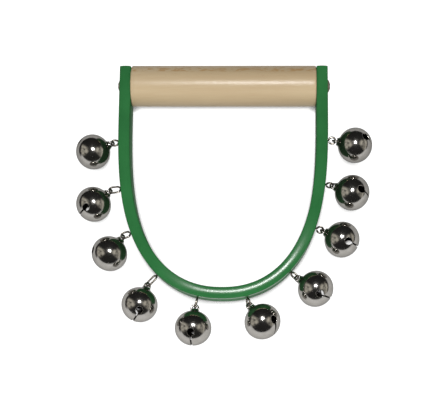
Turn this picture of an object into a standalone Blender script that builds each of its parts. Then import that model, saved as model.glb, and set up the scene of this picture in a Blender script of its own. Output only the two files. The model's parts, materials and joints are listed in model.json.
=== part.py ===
"""Jingle ring: a wooden handle, a plastic strap bent round from one end of it to the other, and ten bells.

The ring lies on its flat side, as on a table. X runs along the handle, Y points from the bow of the
strap to the handle, and Z is up. The table is Z = 0, and the origin is under the middle of the ring.
The strap is narrower than the handle is thick, so the ring leans a little, about the handle's axis,
until the bow of the strap is on the table too. Each bell lies on the table, hooked on its wire eye.
"""

import math

import bmesh
import bpy
from mathutils import Matrix, Vector

MM = 0.001
CLEARANCE = 0.3 * MM

HANDLE_DIAMETER = 25.4 * MM
HANDLE_LENGTH = 114.0 * MM
HANDLE_EDGE_ROUND = 0.9 * MM
HANDLE_SEGMENTS = 36

STRAP_WIDTH = 19.0 * MM
STRAP_THICKNESS = 7.0 * MM
STRAP_EDGE_CROWN = 10.0 * MM
STRAP_CORNER_ROUND = 0.8 * MM
STRAP_STATION_SPACING = 7.0 * MM

# The strap's centreline is straight beside the handle, then a superellipse.
LEG_ABOVE_AXIS = 10.6 * MM
LEG_BELOW_AXIS = 15.0 * MM
BOW_DEPTH = 115.0 * MM
BOW_SIDE_POWER = 2.2
BOW_END_POWER = 3.1

SCREW_HEAD_DIAMETER = 9.2 * MM
SCREW_HEAD_HEIGHT = 1.9 * MM
SCREW_SHANK_DIAMETER = 3.5 * MM
SCREW_LENGTH = 24.0 * MM
SCREW_POINT_LENGTH = 3.0 * MM
SCREW_SLOT_WIDTH = 1.1 * MM
SCREW_SLOT_DEPTH = 0.9 * MM
SCREW_SEGMENTS = 20

EYE_SPACING = 28.0 * MM
EYE_WIRE = 1.2 * MM
EYE_RING_WIDTH = 5.2 * MM
EYE_STEM_DIAMETER = 1.6 * MM
EYE_STEM_DEPTH = 4.6 * MM

BELL_DIAMETER = 22.0 * MM
BELL_LENGTH = 21.0 * MM
BELL_WALL = 0.6 * MM
BELL_NECK_DIAMETER = 4.8 * MM
BELL_NECK_FILLET = 1.6 * MM
BELL_SEGMENTS = 20
BELL_RINGS = 9
CAVITY_SEGMENTS = 12
CAVITY_RINGS = 6

LOOP_WIRE = 1.3 * MM
LOOP_WIDTH = 5.4 * MM
LOOP_REACH = 4.1 * MM
WIRE_SIDES = 6
RING_STEPS = 12

SLOT_WIDTH = 0.8 * MM
SLOT_HOLE_DIAMETER = 4.2 * MM
SLOT_HOLE_DROP = 4.4 * MM
SLOT_HOLE_SEGMENTS = 10

PELLET_DIAMETER = 6.0 * MM

# How each eye and bell lies, from the left leg round the bow to the right leg: how far the eye is
# set past its even place (mm, going round), how much longer it is than a round one (mm), how far it is
# turned out of the strap's plane (degrees), how far its bell leans from square to the strap (degrees,
# counterclockwise from above), and how far the bell's slot is turned from its loop (degrees).
LINKS = [
    (0.3, 0.4, 20, 22, 139),
    (1.1, 3.0, 20, 31, 22),
    (0.5, 1.6, 25, 32, 136),
    (1.7, 4.0, 50, 23, 61),
    (0.2, 1.6, 90, 9, 85),
    (0.7, 0.4, 65, 25, 97),
    (1.4, 1.0, 60, 12, 45),
    (2.9, 0.0, 30, -6, 25),
    (1.9, 0.0, 55, -13, 67),
    (1.4, 0.0, 15, -10, 43),
]

HANDLE_RADIUS = HANDLE_DIAMETER / 2
BELL_RADIUS = BELL_DIAMETER / 2
HALF_SPAN = HANDLE_LENGTH / 2 + CLEARANCE + STRAP_THICKNESS / 2
EYE_ARC_RADIUS = (EYE_RING_WIDTH - EYE_WIRE) / 2
EYE_RING_SEAT = CLEARANCE + EYE_WIRE / 2 + EYE_ARC_RADIUS
LOOP_APEX = EYE_WIRE / 2 + CLEARANCE + LOOP_WIRE / 2
LOOP_RADIUS = (LOOP_WIDTH - LOOP_WIRE) / 2
BODY_TOP = LOOP_APEX + LOOP_WIRE / 2 - LOOP_REACH
BELL_CENTRE_DROP = BELL_LENGTH / 2 - BODY_TOP
BOW_REACH = LEG_BELOW_AXIS + BOW_DEPTH + STRAP_THICKNESS / 2
BELL_REACH = EYE_RING_SEAT + EYE_ARC_RADIUS + BELL_CENTRE_DROP + BELL_RADIUS
HANDLE_FROM_MIDDLE = (BOW_REACH + BELL_REACH - HANDLE_RADIUS) / 2

UP = Vector((0, 0, 1))


def clear_scene():
    for obj in list(bpy.data.objects):
        bpy.data.objects.remove(obj, do_unlink=True)


def make_material(name, colour, roughness, metallic=0.0):
    material = bpy.data.materials.new(name)
    material.use_nodes = True
    shader = material.node_tree.nodes["Principled BSDF"]
    shader.inputs["Base Color"].default_value = (*colour, 1.0)
    shader.inputs["Roughness"].default_value = roughness
    shader.inputs["Metallic"].default_value = metallic
    return material


def add_object(name, mesh, parent=None, matrix=None):
    obj = bpy.data.objects.new(name, mesh)
    bpy.context.scene.collection.objects.link(obj)
    obj.parent = parent
    if matrix is not None:
        obj.matrix_local = matrix
    return obj


def finish_mesh(name, bm, sharp_angle=35):
    bmesh.ops.recalc_face_normals(bm, faces=bm.faces)
    mesh = bpy.data.meshes.new(name)
    bm.to_mesh(mesh)
    bm.free()
    mesh.shade_smooth()
    mesh.set_sharp_from_angle(angle=math.radians(sharp_angle))
    return mesh


def add_loop(bm, points):
    """One closed loop of edges through the points."""
    verts = [bm.verts.new(p) for p in points]
    return [bm.edges.new((a, b)) for a, b in zip(verts, verts[1:] + verts[:1])]


def bridge(bm, loop_a, loop_b):
    bmesh.ops.bridge_loops(bm, edges=loop_a + loop_b)


def arc(centre, radius, start, end, steps):
    """Points on an arc, angles in degrees, both ends included."""
    angles = [math.radians(start + (end - start) * i / steps) for i in range(steps + 1)]
    return [(centre[0] + radius * math.cos(a), centre[1] + radius * math.sin(a)) for a in angles]


def turned_mesh(name, profile, segments, sharp_angle=35):
    """A profile of (radius, z) points turned about Z. It starts and ends on the axis."""
    bm = bmesh.new()
    verts = [bm.verts.new((r, 0, z)) for r, z in profile]
    edges = [bm.edges.new(pair) for pair in zip(verts, verts[1:])]
    bmesh.ops.spin(
        bm,
        geom=verts + edges,
        cent=(0, 0, 0),
        axis=(0, 0, 1),
        angle=math.tau,
        steps=segments,
        use_merge=True,
    )
    bmesh.ops.remove_doubles(bm, verts=bm.verts, dist=0.001 * MM)
    return finish_mesh(name, bm, sharp_angle)


def ring_mesh(name, centreline, wire):
    """A closed wire of round section along a flat centreline of (x, z) points."""
    bm = bmesh.new()
    count = len(centreline)
    loops = []
    for i, (x, z) in enumerate(centreline):
        before = centreline[i - 1]
        after = centreline[(i + 1) % count]
        along = Vector((after[0] - before[0], 0, after[1] - before[1])).normalized()
        across = along.cross(Vector((0, 1, 0)))
        section = arc((0, 0), wire / 2, 0, 360, WIRE_SIDES)[:-1]
        loops.append(add_loop(bm, [Vector((x, 0, z)) + across * u + Vector((0, v, 0)) for u, v in section]))
    for i, loop in enumerate(loops):
        bridge(bm, loops[i - 1], loop)
    return finish_mesh(name, bm, 80)


def boolean(obj, cutter, operation):
    modifier = obj.modifiers.new(operation.lower(), "BOOLEAN")
    modifier.operation = operation
    modifier.object = cutter
    cutter.hide_render = True
    cutter.display_type = "WIRE"


def evaluated_mesh(obj, name):
    """The object's mesh with its modifiers applied. The object and its cutters are then removed."""
    graph = bpy.context.evaluated_depsgraph_get()
    mesh = bpy.data.meshes.new_from_object(obj.evaluated_get(graph))
    mesh.name = name
    for cutter in [m.object for m in obj.modifiers]:
        bpy.data.objects.remove(cutter, do_unlink=True)
    bpy.data.objects.remove(obj, do_unlink=True)
    return mesh


def strap_centreline():
    """Close points along the strap's centreline, from the end of its left leg to that of its right."""
    steps = 800
    bow = []
    for i in range(steps + 1):
        turn = math.pi * (i / steps - 0.5)
        side = math.copysign(abs(math.sin(turn)) ** (2 / BOW_SIDE_POWER), turn)
        depth = abs(math.cos(turn)) ** (2 / BOW_END_POWER)
        bow.append(Vector((HALF_SPAN * side, -LEG_BELOW_AXIS - BOW_DEPTH * depth, 0)))
    ends = [Vector((side * HALF_SPAN, LEG_ABOVE_AXIS, 0)) for side in (-1, 1)]
    return [ends[0]] + bow + [ends[1]]


class Path:
    """A line of close points, read by the distance along it."""

    def __init__(self, points):
        self.points = points
        self.marks = [0.0]
        for a, b in zip(points, points[1:]):
            self.marks.append(self.marks[-1] + (b - a).length)
        self.length = self.marks[-1]

    def at(self, distance):
        distance = min(max(distance, 0.0), self.length)
        i = next(k for k in range(1, len(self.marks)) if self.marks[k] >= distance)
        share = (distance - self.marks[i - 1]) / (self.marks[i] - self.marks[i - 1])
        return self.points[i - 1].lerp(self.points[i], share)

    def outward(self, distance):
        """The direction square to the line, away from the hand."""
        reach = 0.5 * MM
        along = self.at(distance + reach) - self.at(distance - reach)
        return Vector((along.y, -along.x, 0)).normalized()


def strap_section():
    """The strap's section as (outward, up) points: crowned edges, rounded corners, flat sides."""
    half_thick = STRAP_THICKNESS / 2
    half_wide = STRAP_WIDTH / 2
    inset = half_thick - STRAP_CORNER_ROUND
    inner = STRAP_EDGE_CROWN - STRAP_CORNER_ROUND
    crown_centre = half_wide - STRAP_EDGE_CROWN
    corner_centre = crown_centre + math.sqrt(inner**2 - inset**2)
    meet = math.degrees(math.acos(inset / inner))
    top = arc((inset, corner_centre), STRAP_CORNER_ROUND, 0, meet, 2)
    top += arc((0, crown_centre), STRAP_EDGE_CROWN, meet, 180 - meet, 4)[1:-1]
    top += arc((-inset, corner_centre), STRAP_CORNER_ROUND, 180 - meet, 180, 2)
    return top + [(-u, -v) for u, v in top]


def strap_stations(path):
    """The strap's cross-sections by distance: each leg's screw seat is one flat, the rest is even."""
    seat = LEG_ABOVE_AXIS + SCREW_HEAD_DIAMETER / 2 + CLEARANCE
    steps = math.ceil((path.length - 2 * seat) / STRAP_STATION_SPACING)
    even = [seat + (path.length - 2 * seat) * i / steps for i in range(steps + 1)]
    return [0.0] + even + [path.length]


def build_strap(path, parent, material):
    bm = bmesh.new()
    loops = []
    for distance in strap_stations(path):
        centre = path.at(distance)
        out = path.outward(distance)
        loops.append(add_loop(bm, [centre + out * u + UP * v for u, v in strap_section()]))
    for loop_a, loop_b in zip(loops, loops[1:]):
        bridge(bm, loop_a, loop_b)
    for loop in (loops[0], loops[-1]):
        bmesh.ops.contextual_create(bm, geom=loop)
    strap = add_object("strap", finish_mesh("strap", bm), parent)
    strap.data.materials.append(material)
    drill = add_object("strap_drill", strap_drill_mesh(path), parent)
    boolean(strap, drill, "DIFFERENCE")
    return strap


def add_drill(bm, centre, direction, radius, depth, sides):
    """A round cutter of twice the depth, centred on a surface point."""
    turn = direction.to_track_quat("Z", "Y").to_matrix().to_4x4()
    bmesh.ops.create_cone(
        bm,
        cap_ends=True,
        segments=sides,
        radius1=radius,
        radius2=radius,
        depth=2 * depth,
        matrix=Matrix.Translation(centre) @ turn,
    )


def strap_drill_mesh(path):
    """The strap's holes: a blind one for each eye's stem, and one through each leg for its screw.

    The screw's head is pressed a little way into the leg, so its hole has a shallow seat.
    """
    bm = bmesh.new()
    for distance in eye_distances(path):
        surface = eye_surface(path, distance)
        radius = EYE_STEM_DIAMETER / 2 + CLEARANCE
        add_drill(bm, surface, path.outward(distance), radius, EYE_STEM_DEPTH + CLEARANCE, 10)
    seat = SCREW_HEAD_DIAMETER / 2 + CLEARANCE
    shank = SCREW_SHANK_DIAMETER / 2 + CLEARANCE
    profile = [(0, CLEARANCE), (seat, CLEARANCE), (seat, -CLEARANCE), (shank, -CLEARANCE)]
    profile += [(shank, -2 * STRAP_THICKNESS), (0, -2 * STRAP_THICKNESS)]
    for side in (-1, 1):
        drill = turned_mesh("screw_drill", profile, SCREW_SEGMENTS)
        drill.transform(screw_place(side))
        bm.from_mesh(drill)
        bpy.data.meshes.remove(drill)
    return finish_mesh("strap_drill", bm)


def eye_distances(path):
    """Where the eyes are along the strap: spaced evenly about its middle, as near as a hand sets them."""
    first = path.length / 2 - EYE_SPACING * (len(LINKS) - 1) / 2
    return [first + EYE_SPACING * i + link[0] * MM for i, link in enumerate(LINKS)]


def eye_surface(path, distance):
    return path.at(distance) + path.outward(distance) * STRAP_THICKNESS / 2


def build_handle(parent, material):
    """The dowel, turned with a blind pilot bore at each end for the screws."""
    bore = SCREW_SHANK_DIAMETER / 2 + CLEARANCE
    bore_end = HANDLE_LENGTH / 2 - SCREW_LENGTH
    edge = HANDLE_RADIUS - HANDLE_EDGE_ROUND
    shoulder = HANDLE_LENGTH / 2 - HANDLE_EDGE_ROUND
    half = [(0, bore_end), (bore, bore_end), (bore, HANDLE_LENGTH / 2)]
    half += arc((edge, shoulder), HANDLE_EDGE_ROUND, 90, 0, 2)
    profile = half + [(r, -z) for r, z in reversed(half)]
    mesh = turned_mesh("handle", profile, HANDLE_SEGMENTS)
    handle = add_object("handle", mesh, parent, Matrix.Rotation(math.pi / 2, 4, "Y"))
    mesh.materials.append(material)
    return handle


def screw_mesh():
    """A round-head wood screw along Z: the head's seat is at z = 0, its point at negative z."""
    head_radius = SCREW_HEAD_DIAMETER / 2
    ball = (head_radius**2 + SCREW_HEAD_HEIGHT**2) / (2 * SCREW_HEAD_HEIGHT)
    rim = math.degrees(math.asin((ball - SCREW_HEAD_HEIGHT) / ball))
    dome = arc((0, SCREW_HEAD_HEIGHT - ball), ball, 90, rim, 5)
    shank = SCREW_SHANK_DIAMETER / 2
    profile = dome + [(shank, 0), (shank, SCREW_POINT_LENGTH - SCREW_LENGTH), (0, -SCREW_LENGTH)]
    profile[0] = (0, SCREW_HEAD_HEIGHT)
    screw = add_object("screw_blank", turned_mesh("screw_blank", profile, SCREW_SEGMENTS))
    bm = bmesh.new()
    bmesh.ops.create_cube(bm, size=1)
    scale = Matrix.Diagonal((SCREW_HEAD_DIAMETER * 1.2, SCREW_SLOT_WIDTH, 2 * SCREW_SLOT_DEPTH, 1))
    bmesh.ops.transform(bm, matrix=Matrix.Translation((0, 0, SCREW_HEAD_HEIGHT)) @ scale, verts=bm.verts)
    boolean(screw, add_object("screw_slot", finish_mesh("screw_slot", bm)), "DIFFERENCE")
    return evaluated_mesh(screw, "screw")


def screw_place(side):
    """Where a screw's head meets the outside of the left (-1) or right (1) leg, with Z outward."""
    surface = Vector((side * (HALF_SPAN + STRAP_THICKNESS / 2), 0, 0))
    return Matrix.Translation(surface) @ Matrix.Rotation(side * math.pi / 2, 4, "Y")


def build_screws(parent, material):
    mesh = screw_mesh()
    mesh.materials.append(material)
    for name, side in (("screw_left", -1), ("screw_right", 1)):
        add_object(name, mesh, parent, screw_place(side))


def eye_mesh(name, stretch):
    """A wire eye along Z: its seat on the strap at z = 0, its ring in the XZ plane, its stem below."""
    ring = arc((0, EYE_RING_SEAT + stretch), EYE_ARC_RADIUS, 0, 180, RING_STEPS // 2)
    lower = arc((0, EYE_RING_SEAT), EYE_ARC_RADIUS, 180, 360, RING_STEPS // 2)
    ring += lower if stretch > 0 else lower[1:-1]
    eye = add_object(name + "_ring", ring_mesh(name, ring, EYE_WIRE))
    stem_radius = EYE_STEM_DIAMETER / 2
    stem_top = CLEARANCE + EYE_WIRE / 2
    profile = [(0, stem_top), (stem_radius * 0.7, stem_top), (stem_radius, 0), (stem_radius, -EYE_STEM_DEPTH)]
    profile.append((0, -EYE_STEM_DEPTH))
    stem = add_object(name + "_stem", turned_mesh(name + "_stem", profile, 8))
    boolean(eye, stem, "UNION")
    return evaluated_mesh(eye, name)


def bell_body_mesh():
    """The outside of a bell's body, which hangs along -Z from its loop: neck, fillet, oblate ball."""
    neck = BELL_NECK_DIAMETER / 2
    pole_radius = BELL_RADIUS**2 / (BELL_LENGTH / 2)
    fillet_out = neck + BELL_NECK_FILLET
    reach = pole_radius + BELL_NECK_FILLET
    fillet_z = BODY_TOP - pole_radius + math.sqrt(reach**2 - fillet_out**2)
    sweep = math.degrees(math.acos(fillet_out / reach))
    profile = [(0, fillet_z)]
    profile += arc((fillet_out, fillet_z), BELL_NECK_FILLET, 180, 180 + sweep, 3)
    start = math.asin(profile[-1][0] / BELL_RADIUS)
    for i in range(1, BELL_RINGS):
        tilt = start + (math.pi - start) * i / BELL_RINGS
        profile.append(
            (BELL_RADIUS * math.sin(tilt), BELL_LENGTH / 2 * math.cos(tilt) - BELL_CENTRE_DROP)
        )
    profile.append((0, -BELL_LENGTH / 2 - BELL_CENTRE_DROP))
    return turned_mesh("bell_body", profile, BELL_SEGMENTS, 60)


def bell_cavity_mesh():
    """The hollow inside a bell."""
    profile = []
    for i in range(CAVITY_RINGS + 1):
        tilt = math.pi * i / CAVITY_RINGS
        radius = (BELL_RADIUS - BELL_WALL) * math.sin(tilt) if 0 < i < CAVITY_RINGS else 0
        profile.append((radius, (BELL_LENGTH / 2 - BELL_WALL) * math.cos(tilt) - BELL_CENTRE_DROP))
    return turned_mesh("bell_cavity", profile, CAVITY_SEGMENTS, 60)


def bell_slot_mesh(turn):
    """The cut over a bell's foot: a slot across the pole that ends in a round hole at each side.

    It runs along X, then turns about Z by the degrees given.
    """
    hole = SLOT_HOLE_DIAMETER / 2
    half = SLOT_WIDTH / 2
    mouth = math.degrees(math.asin(half / hole))
    outline = arc((0, -SLOT_HOLE_DROP), hole, mouth - 90, 270 - mouth, SLOT_HOLE_SEGMENTS)
    outline += [(-half, -BELL_LENGTH), (half, -BELL_LENGTH)]
    bm = bmesh.new()
    ends = [
        add_loop(bm, [Vector((side * BELL_DIAMETER, u, v - BELL_CENTRE_DROP)) for u, v in outline])
        for side in (-1, 1)
    ]
    bridge(bm, *ends)
    for loop in ends:
        bmesh.ops.contextual_create(bm, geom=loop)
    bmesh.ops.rotate(bm, verts=bm.verts, matrix=Matrix.Rotation(math.radians(turn), 3, "Z"))
    return finish_mesh("bell_slot", bm)


def bell_mesh(name, slot_turn):
    """A bell hung along -Z, with the eye's crown at its origin and its loop in the XZ plane."""
    bell = add_object("bell_blank", bell_body_mesh())
    loop = arc((0, LOOP_APEX - LOOP_RADIUS), LOOP_RADIUS, 90, 450, RING_STEPS)[:-1]
    boolean(bell, add_object("bell_loop", ring_mesh("bell_loop", loop, LOOP_WIRE)), "UNION")
    boolean(bell, add_object("bell_cavity", bell_cavity_mesh()), "DIFFERENCE")
    boolean(bell, add_object("bell_slot", bell_slot_mesh(slot_turn)), "DIFFERENCE")
    return evaluated_mesh(bell, name)


def pellet_mesh():
    radius = PELLET_DIAMETER / 2
    profile = arc((0, 0), radius, 90, -90, 7)
    profile[0] = (0, radius)
    profile[-1] = (0, -radius)
    return turned_mesh("pellet", profile, 10, 80)


def frame_lean():
    """How far the ring leans about the handle's axis for its bow to be on the table, in radians."""
    across = BOW_REACH - STRAP_CORNER_ROUND
    slant = math.hypot(across, STRAP_WIDTH / 2)
    return math.asin(HANDLE_RADIUS / slant) - math.atan2(STRAP_WIDTH / 2, across)


def pose_link(base, surface, out, stretch, turn, lean):
    """The eye's matrix, and the bell's, whose origin is on the wire that it swings on.

    All directions are in the leaning ring's own axes, which base places on the table.
    """
    side = UP.cross(out)
    across = side * math.cos(math.radians(turn)) + UP * math.sin(math.radians(turn))
    normal = out.cross(across)
    arc_centre = surface + out * (EYE_RING_SEAT + stretch)
    level = out * math.cos(math.radians(lean)) + side * math.sin(math.radians(lean))
    rise = 0.0
    for _ in range(12):
        down = level * math.cos(rise) + UP * math.sin(rise)
        flat = (down - normal * down.dot(normal)).normalized()
        hook = arc_centre + flat * EYE_ARC_RADIUS
        height = (base @ (hook + down * BELL_CENTRE_DROP)).z
        rise += (BELL_RADIUS - height) / BELL_CENTRE_DROP
    swing_axis = normal.cross(flat)
    eye = Matrix((across, -normal, out)).transposed().to_4x4()
    bell = Matrix((swing_axis.cross(-down), swing_axis, -down)).transposed().to_4x4()
    return Matrix.Translation(surface) @ eye, Matrix.Translation(hook) @ bell


def build_links(path, base, materials):
    """The eyes, each bell on its swing axis, and each bell's pellet, which lies on the wall below it."""
    ball = pellet_mesh()
    ball.materials.append(materials["pellet"])
    inside = (BELL_RADIUS - BELL_WALL) * math.cos(math.pi / CAVITY_SEGMENTS)
    drop = inside * math.cos(math.pi / 2 / CAVITY_RINGS) - PELLET_DIAMETER / 2 - CLEARANCE
    for number, (distance, link) in enumerate(zip(eye_distances(path), LINKS), 1):
        _, stretch, turn, lean, slot_turn = link
        surface = eye_surface(path, distance)
        placed = pose_link(base.matrix_world, surface, path.outward(distance), stretch * MM, turn, lean)
        mesh = eye_mesh(f"eye_{number:02d}", stretch * MM)
        mesh.materials.append(materials["eye"])
        add_object(f"eye_{number:02d}", mesh, base, placed[0])
        hook = bpy.data.objects.new(f"hook_{number:02d}", None)
        bpy.context.scene.collection.objects.link(hook)
        hook.parent = base
        hook.matrix_local = placed[1]
        shell = bell_mesh(f"bell_{number:02d}", slot_turn)
        shell.materials.append(materials["bell"])
        add_object(f"bell_{number:02d}", shell, hook)
        centre = Vector((0, 0, -BELL_CENTRE_DROP))
        down = (base.matrix_world @ placed[1]).to_3x3().inverted() @ -UP
        add_object(f"pellet_{number:02d}", ball, hook, Matrix.Translation(centre + down * drop))


def build():
    clear_scene()
    materials = {
        "strap": make_material("strap_green", (0.026, 0.155, 0.045), 0.25),
        "handle": make_material("handle_wood", (0.56, 0.42, 0.26), 0.45),
        "screw": make_material("screw_steel", (0.34, 0.30, 0.26), 0.35, 1.0),
        "eye": make_material("eye_wire", (0.55, 0.52, 0.48), 0.2, 1.0),
        "bell": make_material("bell_nickel", (0.66, 0.64, 0.60), 0.08, 1.0),
        "pellet": make_material("pellet_steel", (0.45, 0.45, 0.46), 0.3, 1.0),
    }
    base = bpy.data.objects.new("ring_lean", None)
    bpy.context.scene.collection.objects.link(base)
    axis = Matrix.Translation((0, HANDLE_FROM_MIDDLE, HANDLE_RADIUS))
    base.matrix_world = axis @ Matrix.Rotation(frame_lean(), 4, "X")
    bpy.context.view_layer.update()
    path = Path(strap_centreline())
    build_strap(path, base, materials["strap"])
    build_handle(base, materials["handle"])
    build_screws(base, materials["screw"])
    build_links(path, base, materials)


build()
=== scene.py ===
"""The looks of the jingle ring: finer meshes and materials for the CAD nodes, on a pale floor."""

import json
import math

import bmesh
import bpy
from mathutils import Matrix, Vector


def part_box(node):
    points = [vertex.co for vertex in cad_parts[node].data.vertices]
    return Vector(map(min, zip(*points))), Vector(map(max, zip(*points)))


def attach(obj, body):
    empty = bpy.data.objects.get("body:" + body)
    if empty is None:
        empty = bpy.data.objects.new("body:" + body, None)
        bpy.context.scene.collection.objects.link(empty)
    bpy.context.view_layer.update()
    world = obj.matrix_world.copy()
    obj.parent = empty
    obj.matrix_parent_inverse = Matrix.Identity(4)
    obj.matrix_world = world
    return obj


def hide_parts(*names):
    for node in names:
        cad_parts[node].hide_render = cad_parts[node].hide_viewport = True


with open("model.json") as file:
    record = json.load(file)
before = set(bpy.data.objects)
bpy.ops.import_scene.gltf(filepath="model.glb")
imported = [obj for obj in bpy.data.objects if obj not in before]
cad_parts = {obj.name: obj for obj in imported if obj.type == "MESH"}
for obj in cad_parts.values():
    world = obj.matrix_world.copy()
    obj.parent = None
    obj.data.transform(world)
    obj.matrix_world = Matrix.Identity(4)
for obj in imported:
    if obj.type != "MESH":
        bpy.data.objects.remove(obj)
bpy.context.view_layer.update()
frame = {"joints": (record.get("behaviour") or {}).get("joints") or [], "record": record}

MM = 0.001
UP = Vector((0, 0, 1))

# Sizes that part.py gives its solids.
HANDLE_LENGTH = 114.0 * MM
HANDLE_RADIUS = 12.7 * MM
END_GAP = 0.3 * MM
STRAP_WIDTH = 19.0 * MM
STRAP_THICKNESS = 7.0 * MM
STRAP_CROWN = 10.0 * MM
STRAP_CORNER = 0.8 * MM
LEG_ABOVE_AXIS = 10.6 * MM
LEG_BELOW_AXIS = 15.0 * MM
BOW_DEPTH = 115.0 * MM
BOW_SIDE_POWER = 2.2
BOW_END_POWER = 3.1
HALF_SPAN = HANDLE_LENGTH / 2 + END_GAP + STRAP_THICKNESS / 2
LEAN_DEGREES = 1.383
EYE_SEAT = 2.9 * MM
EYE_RADIUS = 2.0 * MM
EYE_WIRE = 1.2 * MM
BELL_RADIUS = 11.0 * MM
BELL_HALF_LENGTH = 10.5 * MM
BELL_WALL = 0.6 * MM
BELL_DROP = 12.4 * MM
NECK_RADIUS = 2.4 * MM
NECK_FILLET = 1.6 * MM
LOOP_WIRE = 1.3 * MM
LOOP_RADIUS = 2.05 * MM
LOOP_APEX = 1.55 * MM
SLOT_WIDTH = 0.8 * MM
HOLE_RADIUS = 2.1 * MM
HOLE_DROP = 4.4 * MM
SLOT_TURNS = (139, 22, 136, 61, 85, 97, 45, 25, 67, 43)
LOOP_DULLNESS = 0.5  # between the bell's bright outside, 0, and its dull hollow, 1
SCREW_HEAD_RADIUS = 4.6 * MM
SCREW_HEAD_HEIGHT = 1.9 * MM
SCREW_LENGTH = 24.0 * MM
SCREW_SHANK_RADIUS = 1.75 * MM
SCREW_TAPER = 3.0 * MM
SCREW_SLOT_HALF_LENGTH = 6.0 * MM
SCREW_SLOT_HALF_WIDTH = 0.55 * MM
SCREW_SLOT_HEIGHTS = (1.0 * MM, 4 * MM)

# Sizes and counts that only the finer meshes have.
STRAP_SPACING = 1.0 * MM
STRAP_END_EDGE = 0.55 * MM
CURVE_STEPS = 3000
HANDLE_EDGE = 0.9 * MM
HANDLE_END_FILL = 0.8  # how much of the gap at each end the finer handle fills
HANDLE_RINGS = 40
HANDLE_SEGMENTS = 96
SCREW_SEGMENTS = 64
BELL_SEGMENTS = 96
BELL_RINGS = 44
HOLLOW_SEGMENTS = 72
HOLLOW_RINGS = 28
NECK_START = 0.88  # the share of the bell's half length above which its neck begins
SHELL_FIT = 0.02  # how near a point must be to an ellipsoid to count as on it
PELLET_RADIUS = 2.92 * MM
AXIS_RADIUS = 1e-6

# Colours of the materials.
STRAP_GREENS = ((0.014, 0.095, 0.026), (0.019, 0.118, 0.033))
WOOD_TONES = ((0.355, 0.267, 0.160), (0.388, 0.300, 0.184), (0.420, 0.332, 0.212))
WOOD_FIBRE = (0.33, 0.225, 0.12)
WOOD_FLECK = (0.30, 0.17, 0.055)
WOOD_SPOT = (0.24, 0.14, 0.05)
SCREW_TONES = ((0.36, 0.31, 0.26), (0.22, 0.18, 0.14))
EYE_TONES = ((0.30, 0.275, 0.24), (0.18, 0.16, 0.135))
BELL_TONES = ((0.42, 0.405, 0.38), (0.37, 0.355, 0.33))
HOLLOW_TONE = (0.16, 0.15, 0.138)
PELLET_TONES = ((0.42, 0.42, 0.43), (0.30, 0.30, 0.31))

# Where the strap shines: round a point on the bow, and only on its crown.
SHINE_CENTRE = (0.024, -0.074, 0.020)
SHINE_REACH = (0.080, 0.035)
CROWN_HEIGHTS = (13.5 * MM, 16.5 * MM)

# Floor, room, lamps and camera.
FLOOR_GLOW = 1.0
FLOOR_CORNERS = ((-4, -4), (4, 4))
# How far the floor's painted contact shadow reaches.
CONTACT_REACH = 6.0 * MM
CARD_GLOW = 1.0
# The card's glow at the back, where its painted fall of light ends.
CARD_DIM = 0.65
CARD_CORNERS = ((-0.18, -2.0), (1.0, 0.35))
CARD_HEIGHT = -0.2 * MM
ROOM_DARK = 0.012
ROOM_WALL = (0.85, 0.81, 0.71, 1)
BACKGROUND = 0.95
KEY_PLACE = Vector((0.030, 0.097, 0.738))
KEY_SIZE = 0.13
KEY_POWER = 4.45
FILL_PLACE = Vector((0.0, -0.54, 0.52))
FILL_SIZE = 0.5
FILL_POWER = 4.4
CAMERA_PLACE = Vector((0.0243, -0.1425, 0.6868))
CAMERA_TARGET = Vector((-0.00395, 0.00194, 0.0127))
CAMERA_ROLL = 0.71
CAMERA_LENS = 94.17

joints = {joint["name"]: joint for joint in frame["joints"]}


# Mesh tools

def make_mesh(name, verts, faces, sharp=40):
    mesh = bpy.data.meshes.new(name)
    mesh.from_pydata([tuple(v) for v in verts], [], faces)
    bm = bmesh.new()
    bm.from_mesh(mesh)
    bmesh.ops.recalc_face_normals(bm, faces=bm.faces)
    bm.to_mesh(mesh)
    bm.free()
    mesh.shade_smooth()
    mesh.set_sharp_from_angle(angle=math.radians(sharp))
    return mesh


def add_piece(name, mesh, material, node):
    """An object that stands for a CAD node, which it hides; it rides on the node's body and takes
    the given material.
    """
    obj = bpy.data.objects.new(name, mesh)
    bpy.context.scene.collection.objects.link(obj)
    mesh.materials.clear()
    mesh.materials.append(material)
    bodies = frame["record"]["behaviour"]["bodies"]
    body = next(key for key, members in bodies.items() if node in members)
    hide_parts(node)
    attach(obj, body)
    return obj


def arc(centre, radius, start, end, steps):
    """Points on a circle, from one angle in degrees to another."""
    angles = [math.radians(start + (end - start) * i / steps) for i in range(steps + 1)]
    return [(centre[0] + radius * math.cos(a), centre[1] + radius * math.sin(a)) for a in angles]


def skin(rings, closed_ring=True, closed_path=False, capped=True):
    """Verts and faces over equal rings of points."""
    count = len(rings[0])
    verts = [p for ring in rings for p in ring]
    faces = []
    spans = len(rings) if closed_path else len(rings) - 1
    for i in range(spans):
        a, b = i * count, ((i + 1) % len(rings)) * count
        for k in range(count if closed_ring else count - 1):
            n = (k + 1) % count
            faces.append((a + k, a + n, b + n, b + k))
    if capped and not closed_path:
        faces.append(tuple(range(count - 1, -1, -1)))
        faces.append(tuple(range(len(verts) - count, len(verts))))
    return verts, faces


def turned(profile, segments):
    """Verts and faces of a (radius, z) profile turned about Z, which it may start and end on."""
    turns = [math.tau * k / segments for k in range(segments)]
    rings = []
    for r, z in profile:
        r = max(r, AXIS_RADIUS)
        rings.append([Vector((r * math.cos(turn), r * math.sin(turn), z)) for turn in turns])
    return skin(rings)


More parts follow.
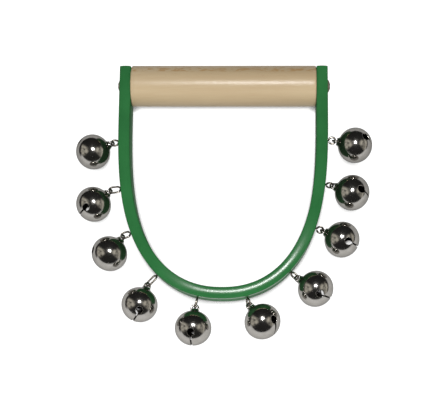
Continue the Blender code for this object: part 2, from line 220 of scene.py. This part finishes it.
def tube(points, radius, sides=12, closed=False):
    """Verts and faces of a round wire; radius may be a list with one value for each point."""
    count = len(points)
    radii = radius if isinstance(radius, list) else [radius] * count
    turns = [math.tau * k / sides for k in range(sides)]
    rings = []
    side = None
    for i, p in enumerate(points):
        before = points[i - 1] if closed or i > 0 else p
        after = points[(i + 1) % count] if closed or i < count - 1 else p
        along = (after - before).normalized()
        if side is None:
            side = along.orthogonal().normalized()
        side = (side - along * side.dot(along)).normalized()
        other = along.cross(side)
        rings.append([p + (side * math.cos(turn) + other * math.sin(turn)) * radii[i]
                      for turn in turns])
    if closed:
        # The frame comes back turned a little: the last rings are joined by the nearest corner.
        last, first = rings[-1], rings[0]
        shift = min(range(sides), key=lambda s: (last[s] - first[0]).length)
        if shift:
            for i, p in enumerate(points):
                before, after = points[i - 1], points[(i + 1) % count]
                along = (after - before).normalized()
                spin = Matrix.Rotation(shift / sides * math.tau * i / (count - 1), 3, along)
                rings[i] = [p + spin @ (q - p) for q in rings[i]]
    return skin(rings, closed_path=closed)


def merged(*parts):
    """Several pairs of verts and faces as one pair."""
    verts, faces = [], []
    for part_verts, part_faces in parts:
        start = len(verts)
        verts += list(part_verts)
        faces += [tuple(i + start for i in face) for face in part_faces]
    return verts, faces


def placed(part, matrix):
    return [matrix @ Vector(v) for v in part[0]], part[1]


# Materials

def grey(value):
    return (value, value, value)


class Look:
    """A principled material and short calls for the nodes behind it."""

    def __init__(self, name, colour, roughness, metallic=0.0, **values):
        self.material = bpy.data.materials.new(name)
        self.material.use_nodes = True
        self.tree = self.material.node_tree
        self.shader = self.tree.nodes["Principled BSDF"]
        self.coords = self.node("ShaderNodeTexCoord").outputs["Object"]
        settings = {"Base Color": (*colour, 1), "Roughness": roughness, "Metallic": metallic}
        for socket, value in {**settings, **values}.items():
            self.shader.inputs[socket].default_value = value

    def node(self, kind, **values):
        node = self.tree.nodes.new(kind)
        for key, value in values.items():
            setattr(node, key, value)
        return node

    def link(self, source, target):
        self.tree.links.new(source, target)

    def noise(self, per_metre, detail=3.0, stretch=(1, 1, 1), distortion=0.0, shift=(0, 0, 0)):
        """A noise value; stretch scales the pattern's frequency along each axis."""
        place = self.node("ShaderNodeMapping")
        place.inputs["Scale"].default_value = stretch
        place.inputs["Location"].default_value = shift
        self.link(self.coords, place.inputs["Vector"])
        noise = self.node("ShaderNodeTexNoise")
        noise.inputs["Scale"].default_value = per_metre
        noise.inputs["Detail"].default_value = detail
        noise.inputs["Distortion"].default_value = distortion
        self.link(place.outputs["Vector"], noise.inputs["Vector"])
        return noise.outputs["Fac"]

    def distance(self, point):
        """The distance from a point, in metres."""
        gap = self.node("ShaderNodeVectorMath", operation="DISTANCE")
        gap.inputs[1].default_value = point
        self.link(self.coords, gap.inputs[0])
        return gap.outputs["Value"]

    def place(self, axis):
        """One coordinate of the surface, in metres."""
        split = self.node("ShaderNodeSeparateXYZ")
        self.link(self.coords, split.inputs[0])
        return split.outputs[axis]

    def fade(self, value, low, high):
        """0 at low and 1 at high, with soft ends."""
        step = self.node("ShaderNodeMapRange", interpolation_type="SMOOTHSTEP")
        step.inputs["From Min"].default_value = low
        step.inputs["From Max"].default_value = high
        self.link(value, step.inputs["Value"])
        return step.outputs["Result"]

    def both(self, a, b):
        """The product of two values."""
        product = self.node("ShaderNodeMath", operation="MULTIPLY")
        for socket, value in zip(product.inputs, (a, b)):
            if isinstance(value, bpy.types.NodeSocket):
                self.link(value, socket)
            else:
                socket.default_value = value
        return product.outputs[0]

    def ramp(self, value, stops):
        """Colours or greys by a value between 0 and 1."""
        ramp = self.node("ShaderNodeValToRGB")
        elements = ramp.color_ramp.elements
        while len(elements) < len(stops):
            elements.new(0.5)
        for element, (position, colour) in zip(elements, stops):
            element.position = position
            element.color = (*(colour if isinstance(colour, tuple) else grey(colour)), 1)
        self.link(value, ramp.inputs["Fac"])
        return ramp.outputs["Color"]

    def mix(self, factor, a, b, blend="MIX"):
        """A colour mix; a, b and factor may be sockets or values."""
        mix = self.node("ShaderNodeMix", data_type="RGBA", blend_type=blend)
        for socket, value in ((mix.inputs[0], factor), (mix.inputs[6], a), (mix.inputs[7], b)):
            if isinstance(value, bpy.types.NodeSocket):
                self.link(value, socket)
            else:
                socket.default_value = (*value, 1) if isinstance(value, tuple) else value
        return mix.outputs[2]

    def bump(self, height, distance, strength=1.0, under=None, target="Normal"):
        """Bump from a height; under is the bump that it lies on."""
        bump = self.node("ShaderNodeBump")
        bump.inputs["Strength"].default_value = strength
        bump.inputs["Distance"].default_value = distance
        self.link(height, bump.inputs["Height"])
        if under is not None:
            self.link(under, bump.inputs["Normal"])
        self.link(bump.outputs["Normal"], self.shader.inputs[target])
        return bump.outputs["Normal"]

    def into(self, socket, value):
        self.link(value, self.shader.inputs[socket])


def strap_look():
    """Green moulded plastic: glossy on the crown round one part of the bow, dull elsewhere."""
    look = Look("green_plastic", (0.02, 0.12, 0.035), 0.2, **{"Specular IOR Level": 0.22})
    dark, light = STRAP_GREENS
    look.into("Base Color", look.ramp(look.noise(45, 4), [(0.3, dark), (0.7, light)]))
    crown = look.fade(look.place("Z"), *CROWN_HEIGHTS)
    shine = look.both(look.fade(look.distance(SHINE_CENTRE), *SHINE_REACH), crown)
    look.into("Specular IOR Level", look.mix(shine, grey(0.10), grey(0.32)))
    dull = look.mix(shine, look.mix(crown, grey(0.55), grey(0.75)), grey(0.20))
    speckle = look.ramp(look.noise(900, 5), [(0.35, 0.0), (0.75, 0.08)])
    look.into("Roughness", look.mix(1.0, dull, speckle, "ADD"))
    waves = look.bump(look.noise(140, 2), 0.12 * MM, 0.5)
    look.bump(look.noise(2600, 3), 0.01 * MM, 0.5, waves)
    return look.material


def wood_look():
    """Pale wood under thin lacquer: straight fibres, a few spots, and a band of brown flecks."""
    lacquer = {"Coat Weight": 0.42, "Coat Roughness": 0.29}
    look = Look("lacquered_wood", (0.45, 0.38, 0.28), 0.6, **lacquer)
    look.shader.inputs["Specular IOR Level"].default_value = 0.2
    dark, middle, light = WOOD_TONES
    bands = look.noise(90, 4, (0.08, 1, 1), 0.4)
    ground = look.ramp(bands, [(0.32, dark), (0.5, middle), (0.7, light)])
    fibres = look.ramp(look.noise(1500, 3, (0.05, 1, 1)), [(0.45, 0.0), (0.65, 0.16)])
    fibred = look.mix(fibres, ground, WOOD_FIBRE)
    # The flecks lie in a band on the side away from the bow. The spots fade in from the axis on.
    axis = handle_centre.y
    across = look.place("Y")
    band = look.both(look.fade(across, axis + 5.2 * MM, axis + 6.8 * MM),
                     look.fade(across, axis + 10.2 * MM, axis + 8.6 * MM))
    beyond = look.fade(across, axis - 2 * MM, axis + 6 * MM)
    shift = (0.3, 0.1, 0.7)
    flecks = look.ramp(look.noise(560, 2, (0.4, 1, 1), 0.6, shift), [(0.50, 0.0), (0.57, 1.0)])
    spots = look.ramp(look.noise(900, 2, (0.3, 1, 1), 0.6, shift), [(0.64, 0.0), (0.70, 0.22)])
    flecked = look.mix(look.both(flecks, look.both(band, 0.7)), fibred, WOOD_FLECK)
    look.into("Base Color", look.mix(look.both(spots, beyond), flecked, WOOD_SPOT))
    look.into("Roughness", look.ramp(look.noise(700, 4, (0.2, 1, 1)), [(0.3, 0.5), (0.7, 0.68)]))
    grain = look.bump(look.noise(1300, 3, (0.06, 1, 1)), 0.03 * MM, 0.5)
    look.bump(look.noise(900, 3, (0.45, 1, 1)), 0.06 * MM, 0.6, grain)
    look.bump(look.noise(700, 3, (0.6, 1, 1)), 0.10 * MM, 0.8, grain, "Coat Normal")
    return look.material


def metal_look(name, tones, roughness, dull, waviness, rim=0.35):
    """Plated metal with soft dents; rim is how much of its shine is left at grazing angles, and a
    low rim is a painted dark edge that stands in for the shaded floor the edge reflects.
    """
    bright, dark = tones
    look = Look(name, bright, roughness, 1.0, **{"Specular Tint": (*grey(rim), 1)})
    look.into("Base Color", look.ramp(look.noise(260, 5), [(0.35, dark), (0.6, bright)]))
    look.into("Roughness", look.ramp(look.noise(1400, 5), [(0.4, roughness), (0.75, dull)]))
    waves = look.bump(look.noise(240, 2), waviness, 0.5)
    look.bump(look.noise(4200, 3), 0.004 * MM, 0.4, waves)
    return look


def bell_look():
    """Bright nickel outside, dull grey in the hollow, by the mesh's "inside"; the loop between."""
    look = metal_look("bell_metal", BELL_TONES, 0.12, 0.20, 0.05 * MM)
    look.shader.inputs["Metallic"].default_value = 0.985
    inside = look.node("ShaderNodeAttribute", attribute_name="inside").outputs["Fac"]
    # Outside, half the shine is left at grazing angles: a painted dark rim for the shaded floor
    # round the bell.
    look.into("Specular Tint", look.mix(inside, grey(0.5), grey(0.05)))
    for socket, value in (("Base Color", HOLLOW_TONE), ("Roughness", grey(0.42))):
        outside = look.shader.inputs[socket].links[0].from_socket
        look.into(socket, look.mix(inside, outside, value))
    return look


# The strap, handle and screws, in the leaning frame

handle_low, handle_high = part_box("handle")
handle_centre = (handle_low + handle_high) / 2
LEANING = Matrix.Translation(handle_centre) @ Matrix.Rotation(math.radians(LEAN_DEGREES), 4, "X")


def strap_line(spacing):
    """Points and outward directions along the strap's centreline, evenly spaced."""
    line = [Vector((-HALF_SPAN, LEG_ABOVE_AXIS, 0))]
    for i in range(CURVE_STEPS + 1):
        turn = math.pi * (i / CURVE_STEPS - 0.5)
        side = math.copysign(abs(math.sin(turn)) ** (2 / BOW_SIDE_POWER), turn)
        depth = abs(math.cos(turn)) ** (2 / BOW_END_POWER)
        line.append(Vector((HALF_SPAN * side, -LEG_BELOW_AXIS - BOW_DEPTH * depth, 0)))
    line.append(Vector((HALF_SPAN, LEG_ABOVE_AXIS, 0)))
    marks = [0.0]
    for a, b in zip(line, line[1:]):
        marks.append(marks[-1] + (b - a).length)
    count = round(marks[-1] / spacing)
    points = []
    k = 1
    for i in range(count + 1):
        mark = marks[-1] * i / count
        while k < len(marks) - 1 and marks[k] < mark:
            k += 1
        share = (mark - marks[k - 1]) / (marks[k] - marks[k - 1])
        points.append(line[k - 1].lerp(line[k], min(share, 1.0)))
    outs = []
    for i in range(count + 1):
        along = points[min(i + 1, count)] - points[max(i - 1, 0)]
        outs.append(Vector((along.y, -along.x, 0)).normalized())
    return points, outs


def strap_section(inset):
    """The strap's section as (outward, up) points, drawn in by the inset."""
    thick = STRAP_THICKNESS / 2 - inset
    wide = STRAP_WIDTH / 2 - inset
    crown = STRAP_CROWN - inset
    corner = STRAP_CORNER - inset
    reach = crown - corner
    side = thick - corner
    centre = wide - crown
    corner_z = centre + math.sqrt(reach**2 - side**2)
    meet = math.degrees(math.acos(side / reach))
    top = arc((side, corner_z), corner, 0, meet, 6)
    top += arc((0, centre), crown, meet, 180 - meet, 16)[1:-1]
    top += arc((-side, corner_z), corner, 180 - meet, 180, 6)
    flat = [(-thick, corner_z - 2 * corner_z * i / 8) for i in range(1, 8)]
    return top + flat + [(-u, -v) for u, v in top] + [(-u, -v) for u, v in flat]


def build_strap():
    points, outs = strap_line(STRAP_SPACING)
    rings = [[point + out * u + UP * v for u, v in strap_section(0.0)]
             for point, out in zip(points[1:-1], outs[1:-1])]
    for place, out, first in ((points[0], outs[0], True), (points[-1], outs[-1], False)):
        ends = []
        for angle in range(0, 91, 15):
            shrink = STRAP_END_EDGE * (1 - math.sin(math.radians(angle)))
            back = Vector((0, -STRAP_END_EDGE * (1 - math.cos(math.radians(angle))), 0))
            ends.append([place + back + out * u + UP * v for u, v in strap_section(shrink)])
        rings = ends + rings if first else rings + ends[::-1]
    verts, faces = skin(rings)
    mesh = make_mesh("strap_band", *placed((verts, faces), LEANING), 60)
    add_piece("strap_band", mesh, strap_look(), "strap")


def build_handle():
    half = HANDLE_LENGTH / 2 + END_GAP * HANDLE_END_FILL
    corner = HANDLE_RADIUS - HANDLE_EDGE
    flank = 2 * half - 2 * HANDLE_EDGE
    profile = [(0, -half), (HANDLE_RADIUS * 0.5, -half)]
    profile += arc((corner, -half + HANDLE_EDGE), HANDLE_EDGE, -90, 0, 8)
    profile += [(HANDLE_RADIUS, -half + HANDLE_EDGE + flank * i / HANDLE_RINGS)
                for i in range(1, HANDLE_RINGS)]
    profile += arc((corner, half - HANDLE_EDGE), HANDLE_EDGE, 0, 90, 8)
    profile += [(HANDLE_RADIUS * 0.5, half), (0, half)]
    along_x = LEANING @ Matrix.Rotation(math.pi / 2, 4, "Y")
    dowel = placed(turned(profile, HANDLE_SEGMENTS), along_x)
    add_piece("handle_dowel", make_mesh("handle_dowel", *dowel, 50), wood_look(), "handle")


def build_screws():
    look = metal_look("screw_metal", SCREW_TONES, 0.33, 0.5, 0.1 * MM).material
    ball = (SCREW_HEAD_RADIUS**2 + SCREW_HEAD_HEIGHT**2) / (2 * SCREW_HEAD_HEIGHT)
    rim = math.degrees(math.asin((ball - SCREW_HEAD_HEIGHT) / ball))
    profile = arc((0, SCREW_HEAD_HEIGHT - ball), ball, 90, rim + 3, 14)
    profile += [(SCREW_HEAD_RADIUS - 0.02 * MM, 0.02 * MM)]
    profile += [(SCREW_HEAD_RADIUS - 0.05 * MM, -END_GAP), (SCREW_SHANK_RADIUS, -END_GAP)]
    profile += [(SCREW_SHANK_RADIUS, SCREW_TAPER - SCREW_LENGTH), (0, -SCREW_LENGTH)]
    x, y = SCREW_SLOT_HALF_LENGTH, SCREW_SLOT_HALF_WIDTH
    corners = ((-x, -y), (x, -y), (x, y), (-x, y))
    seat = HALF_SPAN + STRAP_THICKNESS / 2
    for node, side in (("screw_left", -1), ("screw_right", 1)):
        blank = loose_object(make_mesh(node + "_blank", *turned(profile, SCREW_SEGMENTS), 45))
        slot = skin([[Vector((*corner, z)) for corner in corners] for z in SCREW_SLOT_HEIGHTS])
        cut = cut_mesh(blank, loose_object(make_mesh("slot_cutter", *slot)), node + "_head")
        turn = Matrix.Rotation(side * math.pi / 2, 4, "Y")
        cut.transform(LEANING @ Matrix.Translation((side * seat, 0, 0)) @ turn)
        cut.set_sharp_from_angle(angle=math.radians(40))
        add_piece(node + "_head", cut, look, node)


def loose_object(mesh):
    """An object for cut_mesh, which removes it again."""
    obj = bpy.data.objects.new(mesh.name, mesh)
    bpy.context.scene.collection.objects.link(obj)
    return obj


def cut_mesh(obj, cutter, name):
    """The object's mesh with the cutter taken away; both objects are then removed."""
    modifier = obj.modifiers.new("cut", "BOOLEAN")
    modifier.object = cutter
    modifier.operation = "DIFFERENCE"
    graph = bpy.context.evaluated_depsgraph_get()
    mesh = bpy.data.meshes.new_from_object(obj.evaluated_get(graph))
    mesh.name = name
    bpy.data.objects.remove(obj, do_unlink=True)
    bpy.data.objects.remove(cutter, do_unlink=True)
    return mesh


# Eyes, bells and pellets

def link_frames(number):
    """The eye's frame, its stretch, and the bell's frame, from the joints and the pellet."""
    eye = joints[f"eye_{number:02d}_turn"]
    swing = joints[f"bell_{number:02d}_swing"]
    surface = Vector(eye["pos_m"])
    out = Vector(eye["axis"]).normalized()
    hook = Vector(swing["pos_m"])
    axis = Vector(swing["axis"]).normalized()
    low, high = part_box(f"pellet_{number:02d}")
    centre = (low + high) / 2
    centre.z = BELL_RADIUS
    down = (centre - hook).normalized()
    axis = (axis - down * axis.dot(down)).normalized()
    normal = out.cross(axis).normalized()
    across = normal.cross(out)
    flat = (down - normal * down.dot(normal)).normalized()
    stretch = (hook - flat * EYE_RADIUS - surface).dot(out) - EYE_SEAT
    eye_frame = Matrix.Translation(surface) @ Matrix((across, -normal, out)).transposed().to_4x4()
    bell_axes = Matrix((axis.cross(-down), axis, -down)).transposed().to_4x4()
    return eye_frame, stretch, Matrix.Translation(hook) @ bell_axes


def eye_shape(stretch):
    """A bent wire: its stem along Z, and an open ring in the XZ plane that ends beside the stem."""
    path = [Vector((0, 0, z * MM)) for z in (-4.5, -3, -1.5, -0.6, 0.0)]
    bottom = EYE_SEAT
    top = EYE_SEAT + stretch
    start = [(0.06 * MM, 0.35 * MM), (0.3 * MM, 0.72 * MM)]
    lower = arc((0, bottom), EYE_RADIUS, -66, 0, 6)
    upper = arc((0, top), EYE_RADIUS, 0, 180, 18)
    back = arc((0, bottom), EYE_RADIUS, 180, 250, 7)
    ring = start + lower + (upper if stretch > 0.2 * MM else upper[1:-1]) + back
    path += [Vector((x, 0, z)) for x, z in ring]
    thin = [0.78 * MM] * 4 + [0.72 * MM, 0.66 * MM, 0.62 * MM]
    radii = thin + [EYE_WIRE / 2] * (len(path) - len(thin))
    radii[-1] = EYE_WIRE * 0.3
    return tube(path, radii, 16)


def bell_profile():
    """The outside of a bell from its neck to its foot, as (radius, z) points below its loop."""
    pole_radius = BELL_RADIUS**2 / BELL_HALF_LENGTH
    body_top = BELL_HALF_LENGTH - BELL_DROP
    fillet_out = NECK_RADIUS + NECK_FILLET
    reach = pole_radius + NECK_FILLET
    fillet_z = body_top - pole_radius + math.sqrt(reach**2 - fillet_out**2)
    sweep = math.degrees(math.acos(fillet_out / reach))
    profile = [(0, fillet_z + 0.06 * MM), (NECK_RADIUS * 0.8, fillet_z + 0.04 * MM)]
    profile += arc((fillet_out, fillet_z), NECK_FILLET, 180, 180 + sweep, 10)
    start = math.asin(profile[-1][0] / BELL_RADIUS)
    for i in range(1, BELL_RINGS + 1):
        tilt = start + (math.pi - start) * i / BELL_RINGS
        height = BELL_HALF_LENGTH * math.cos(tilt) - BELL_DROP
        profile.append((BELL_RADIUS * math.sin(tilt), height))
    return profile


def inner_profile():
    """The inside of a bell, from its foot to its top."""
    points = []
    for i in range(HOLLOW_RINGS + 1):
        tilt = math.pi * (1 - i / HOLLOW_RINGS)
        points.append(((BELL_RADIUS - BELL_WALL) * math.sin(tilt),
                       (BELL_HALF_LENGTH - BELL_WALL) * math.cos(tilt) - BELL_DROP))
    return points


def keyhole(hole, half, foot):
    """The cut's outline seen along X, as (y, z) points: a round hole above a straight slot."""
    mouth = math.degrees(math.asin(half / hole))
    return arc((0, -HOLE_DROP), hole, mouth - 90, 270 - mouth, 36) + [(-half, foot), (half, foot)]


def slot_edge():
    """The line round the cut, on the middle of the bell's wall."""
    edge = BELL_WALL / 2
    half = SLOT_WIDTH / 2 + edge
    hole = HOLE_RADIUS + edge
    radius = BELL_RADIUS - edge
    length = BELL_HALF_LENGTH - edge
    mouth = math.degrees(math.asin(half / hole))
    hole_arc = arc((0, -HOLE_DROP), hole, mouth - 90, 270 - mouth, 40)

    def on_wall(y, z, side):
        x = radius * math.sqrt(max(0.0, 1 - (z / length) ** 2) - (y / radius) ** 2)
        return Vector((side * x, y, z))

    def over_foot(angle, side):
        x = side * radius * squeeze * math.cos(angle)
        return Vector((x, -side * half, -length * squeeze * math.sin(angle)))

    low = hole_arc[-1][1]
    squeeze = math.sqrt(1 - (half / radius) ** 2)
    start = math.asin(-low / (length * squeeze))
    over = [start + (math.pi - 2 * start) * i / 48 for i in range(1, 48)]
    line = [on_wall(y, z, 1) for y, z in hole_arc]
    line += [over_foot(angle, 1) for angle in over]
    line += [on_wall(-y, z, -1) for y, z in hole_arc]
    line += [over_foot(angle, -1) for angle in over]
    return line


def bell_mesh(number, matrix):
    """A sheet metal bell: its shell cut for the slot, a rolled edge round the cut, and its loop."""
    edge = BELL_WALL / 2
    outer, inner = turned(bell_profile(), BELL_SEGMENTS), turned(inner_profile(), HOLLOW_SEGMENTS)
    sheet = make_mesh("shell", *merged(outer, inner), 70)
    for polygon in sheet.polygons[len(outer[1]):]:
        polygon.flip()  # the hollow's side faces the hollow
    outline = keyhole(HOLE_RADIUS + edge, SLOT_WIDTH / 2 + edge, -3 * BELL_RADIUS)
    turn = Matrix.Rotation(math.radians(SLOT_TURNS[number - 1]), 4, "Z")
    set_in = Matrix.Translation((0, 0, -BELL_DROP)) @ turn
    rings = [[set_in @ Vector((side * 2 * BELL_RADIUS, y, z)) for y, z in outline]
             for side in (-1, 1)]
    cutter = make_mesh("cutter", *skin(rings))
    cut = cut_mesh(loose_object(sheet), loose_object(cutter), "shell_cut")
    normals, insides = shell_normals(cut)
    bead = tube([set_in @ p for p in slot_edge()], edge, 10, True)
    # The loop stops inside the neck's metal.
    circle = arc((0, LOOP_APEX - LOOP_RADIUS), LOOP_RADIUS, -45, 225, 36)
    loop = tube([Vector((x, 0, z)) for x, z in circle], LOOP_WIRE / 2, 14)
    extra = make_mesh("extra", *merged(bead, loop), 80)
    normals += [tuple(v.normal) for v in extra.vertices]
    insides += [0.0] * len(bead[0]) + [LOOP_DULLNESS] * len(loop[0])
    verts, faces = merged(*(([v.co.copy() for v in part.vertices],
                             [tuple(p.vertices) for p in part.polygons]) for part in (cut, extra)))
    mesh = bpy.data.meshes.new(f"jingle_bell_{number:02d}")
    mesh.from_pydata([tuple(matrix @ v) for v in verts], [], faces)
    mesh.attributes.new("inside", "FLOAT", "POINT").data.foreach_set("value", insides)
    mesh.shade_smooth()
    rotation = matrix.to_3x3()
    mesh.normals_split_custom_set_from_vertices([tuple(rotation @ Vector(n)) for n in normals])
    for spare in (cut, extra):
        bpy.data.meshes.remove(spare)
    return mesh


def shell_normals(mesh):
    """For each vertex its normal, true where it is on an ellipsoid, and 1.0 if it is inside."""
    neck = BELL_HALF_LENGTH * NECK_START - BELL_DROP
    sides = ((BELL_RADIUS, BELL_HALF_LENGTH, 1),
             (BELL_RADIUS - BELL_WALL, BELL_HALF_LENGTH - BELL_WALL, -1))
    normals, insides = [], []
    for vert in mesh.vertices:
        x, y, z = vert.co
        up = z + BELL_DROP
        normal, inside = tuple(vert.normal), 0.0
        for radius, length, facing in sides:
            fit = (x * x + y * y) / radius**2 + up * up / length**2
            if abs(fit - 1) < SHELL_FIT and (z < neck or facing < 0):
                slope = Vector((x / radius**2, y / radius**2, up / length**2))
                normal = tuple(slope.normalized() * facing)
                inside = float(facing < 0)
        normals.append(normal)
        insides.append(inside)
    return normals, insides


def build_links():
    wire = metal_look("eye_metal", EYE_TONES, 0.26, 0.4, 0.10 * MM, 0.1).material
    nickel = bell_look().material
    steel = metal_look("pellet_metal", PELLET_TONES, 0.3, 0.45, 0.05 * MM).material
    ball = turned(arc((0, 0), PELLET_RADIUS, -90, 90, 20), 40)
    for number in range(1, 11):
        key = f"{number:02d}"
        eye_frame, stretch, bell_frame = link_frames(number)
        eye = make_mesh(f"wire_eye_{key}", *placed(eye_shape(stretch), eye_frame), 80)
        add_piece(f"wire_eye_{key}", eye, wire, f"eye_{key}")
        add_piece(f"jingle_bell_{key}", bell_mesh(number, bell_frame), nickel, f"bell_{key}")
        low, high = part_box(f"pellet_{key}")
        lifted = placed(ball, Matrix.Translation((low + high) / 2))
        add_piece(f"ball_{key}", make_mesh(f"ball_{key}", *lifted, 80), steel, f"pellet_{key}")


# Floor, light and camera

def floor_look(name):
    """Matt white card that is lit through."""
    look = Look(name, grey(0.3), 0.9)
    look.shader.inputs["Specular IOR Level"].default_value = 0.1
    look.shader.inputs["Emission Color"].default_value = (1, 1, 1, 1)
    look.into("Base Color", look.ramp(look.noise(3, 2), [(0.2, 0.22), (0.8, 0.25)]))
    return look


def floor_piece(name, corners, height, look):
    (x0, y0), (x1, y1) = corners
    verts = [Vector((x, y, height)) for x, y in ((x0, y0), (x1, y0), (x1, y1), (x0, y1))]
    mesh = make_mesh(name, verts, [(0, 1, 2, 3)])
    mesh.materials.append(look.material)
    piece = bpy.data.objects.new(name, mesh)
    bpy.context.scene.collection.objects.link(piece)
    return piece


def build_floor():
    """The floor that is seen, whose glow holds a painted contact shadow, and just under it the
    white card that only reflections see, whose glow holds a painted fall of light.
    """
    look = floor_look("pale_floor")
    # The floor's glow fades where things come near it: a painted contact shadow.
    contact_occlusion = look.node("ShaderNodeAmbientOcclusion", samples=8)
    contact_occlusion.inputs["Distance"].default_value = CONTACT_REACH
    clear = look.fade(contact_occlusion.outputs["AO"], 0.40, 0.70)
    look.into("Emission Strength", look.both(clear, FLOOR_GLOW))
    floor = floor_piece("floor", FLOOR_CORNERS, 0.0, look)
    floor.visible_diffuse = False
    floor.visible_glossy = False
    look = floor_look("pale_card")
    # The card glows brighter towards the front than at the back: a painted fall of light, seen in
    # the bells' reflections.
    light_fall = look.fade(look.place("Y"), 0.06, -0.12)
    look.into("Emission Strength", look.mix(light_fall, grey(CARD_DIM), grey(CARD_GLOW)))
    card = floor_piece("card", CARD_CORNERS, CARD_HEIGHT, look)
    card.visible_camera = False


def build_world():
    """A dark room with a grey wall at each side and a low white sweep in front.

    Only reflections and light see the room. The camera sees a plain pale background.
    """
    world = bpy.data.worlds.new("room")
    bpy.context.scene.world = world
    world.use_nodes = True
    tree = world.node_tree
    room = tree.nodes["Background"]
    coords = tree.nodes.new("ShaderNodeTexCoord")
    split = tree.nodes.new("ShaderNodeSeparateXYZ")
    tree.links.new(coords.outputs["Generated"], split.inputs[0])

    def math_node(operation, a, b=None):
        node = tree.nodes.new("ShaderNodeMath")
        node.operation = operation
        for socket, value in zip(node.inputs, (a, b)):
            if isinstance(value, bpy.types.NodeSocket):
                tree.links.new(value, socket)
            elif value is not None:
                socket.default_value = value
        return node.outputs[0]

    def band(value, low, high):
        step = tree.nodes.new("ShaderNodeMapRange")
        step.interpolation_type = "SMOOTHSTEP"
        step.inputs["From Min"].default_value = low
        step.inputs["From Max"].default_value = high
        tree.links.new(value, step.inputs["Value"])
        return step.outputs["Result"]

    x, y, z = split.outputs
    across = math_node("ABSOLUTE", x)
    ratio = math_node("DIVIDE", math_node("ABSOLUTE", y), math_node("ADD", across, 0.001))
    height = math_node("MULTIPLY", band(z, 0.06, 0.24), band(z, 0.97, 0.80))
    wedge = math_node("MULTIPLY", band(ratio, 0.80, 0.30), height)
    blots = tree.nodes.new("ShaderNodeTexNoise")
    blots.inputs["Scale"].default_value = 3.2
    blots.inputs["Detail"].default_value = 4
    tree.links.new(coords.outputs["Generated"], blots.inputs["Vector"])
    wedge = math_node("MULTIPLY", wedge, band(blots.outputs["Fac"], 0.30, 0.60))
    front = math_node("MULTIPLY", band(y, -0.15, -0.45), band(z, 0.20, 0.10))
    sweep = tree.nodes.new("ShaderNodeMix")
    sweep.data_type = "RGBA"
    sweep.inputs[6].default_value = (*grey(ROOM_DARK), 1)
    sweep.inputs[7].default_value = (*grey(CARD_GLOW), 1)
    tree.links.new(front, sweep.inputs[0])
    colour = tree.nodes.new("ShaderNodeMix")
    colour.data_type = "RGBA"
    tree.links.new(sweep.outputs[2], colour.inputs[6])
    colour.inputs[7].default_value = ROOM_WALL
    tree.links.new(wedge, colour.inputs[0])
    tree.links.new(colour.outputs[2], room.inputs["Color"])
    pale = tree.nodes.new("ShaderNodeBackground")
    pale.inputs["Color"].default_value = (*grey(BACKGROUND), 1)
    chooser = tree.nodes.new("ShaderNodeMixShader")
    rays = tree.nodes.new("ShaderNodeLightPath")
    tree.links.new(rays.outputs["Is Camera Ray"], chooser.inputs[0])
    tree.links.new(room.outputs[0], chooser.inputs[1])
    tree.links.new(pale.outputs[0], chooser.inputs[2])
    tree.links.new(chooser.outputs[0], tree.nodes["World Output"].inputs["Surface"])


def aim(obj, place, target, roll=0.0):
    """Puts the object at a place, looking at the target, with its own X axis level."""
    look = (target - place).normalized()
    right = Vector((-look.z, 0, look.x))
    right = right if right.x > 0 else -right
    right.normalize()
    up = right.cross(look)
    matrix = Matrix((right, up, -look)).transposed().to_4x4()
    obj.matrix_world = Matrix.Translation(place) @ matrix @ Matrix.Rotation(roll, 4, "Z")


def build_camera():
    camera = bpy.data.objects.new("camera", bpy.data.cameras.new("camera"))
    bpy.context.scene.collection.objects.link(camera)
    camera.data.sensor_width = 36
    camera.data.lens = CAMERA_LENS
    camera.data.clip_start = 0.01
    aim(camera, CAMERA_PLACE, CAMERA_TARGET, math.radians(CAMERA_ROLL))
    bpy.context.scene.camera = camera


def add_lamp(name, size, power, place):
    """A round soft lamp that shines on the middle of the frame."""
    lamp = bpy.data.lights.new(name, "AREA")
    lamp.shape = "DISK"
    lamp.size = size
    lamp.energy = power
    obj = bpy.data.objects.new(name, lamp)
    bpy.context.scene.collection.objects.link(obj)
    aim(obj, place, Vector((0, 0, 0)))
    return obj


def build_light():
    add_lamp("key", KEY_SIZE, KEY_POWER, KEY_PLACE)
    fill = add_lamp("fill", FILL_SIZE, FILL_POWER, FILL_PLACE)
    fill.visible_glossy = False


build_strap()
build_handle()
build_screws()
build_links()
build_floor()
build_world()
build_light()
build_camera()
bpy.context.scene.view_settings.view_transform = "Standard"
